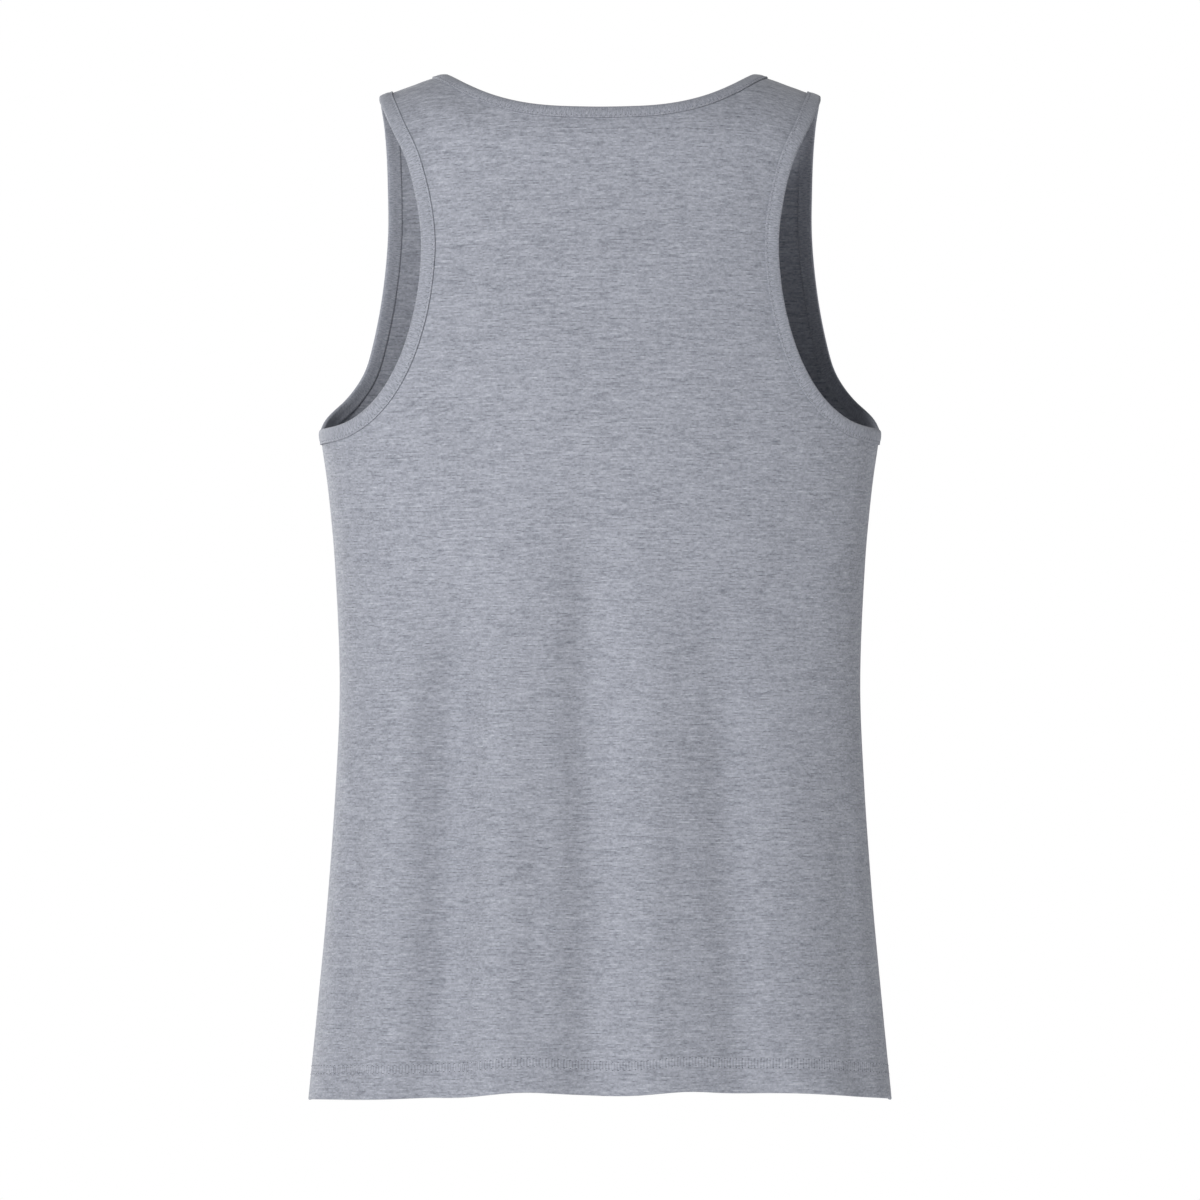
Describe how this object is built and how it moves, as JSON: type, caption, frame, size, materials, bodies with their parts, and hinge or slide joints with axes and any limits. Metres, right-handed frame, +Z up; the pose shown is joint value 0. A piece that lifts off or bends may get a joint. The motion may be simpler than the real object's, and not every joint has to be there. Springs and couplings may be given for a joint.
{
  "type": "tank top, filled out as worn with no wearer",
  "caption": "Sleeveless scoop neck top in heather grey jersey, open at neck, armholes and hem, held at the shoulders by its wearer.",
  "frame": {"origin": "midway between the two points where the neck meets the shoulder seams, where the wearer's shoulders hold the garment up", "axes": "+Z up, -Y to the garment's front, +Y to its back, +X to the wearer's left"},
  "size_m": [0.3774, 0.2033, 0.6632],
  "materials": {
    "jersey": "matte heather knit",
    "binding": "matte heather knit, folded strip"
  },
  "bodies": {
    "root": {"back_panel": "jersey", "front_panel": "jersey", "neck_binding": "binding", "armhole_binding_left": "binding", "armhole_binding_right": "binding"}
  },
  "joints": []
}
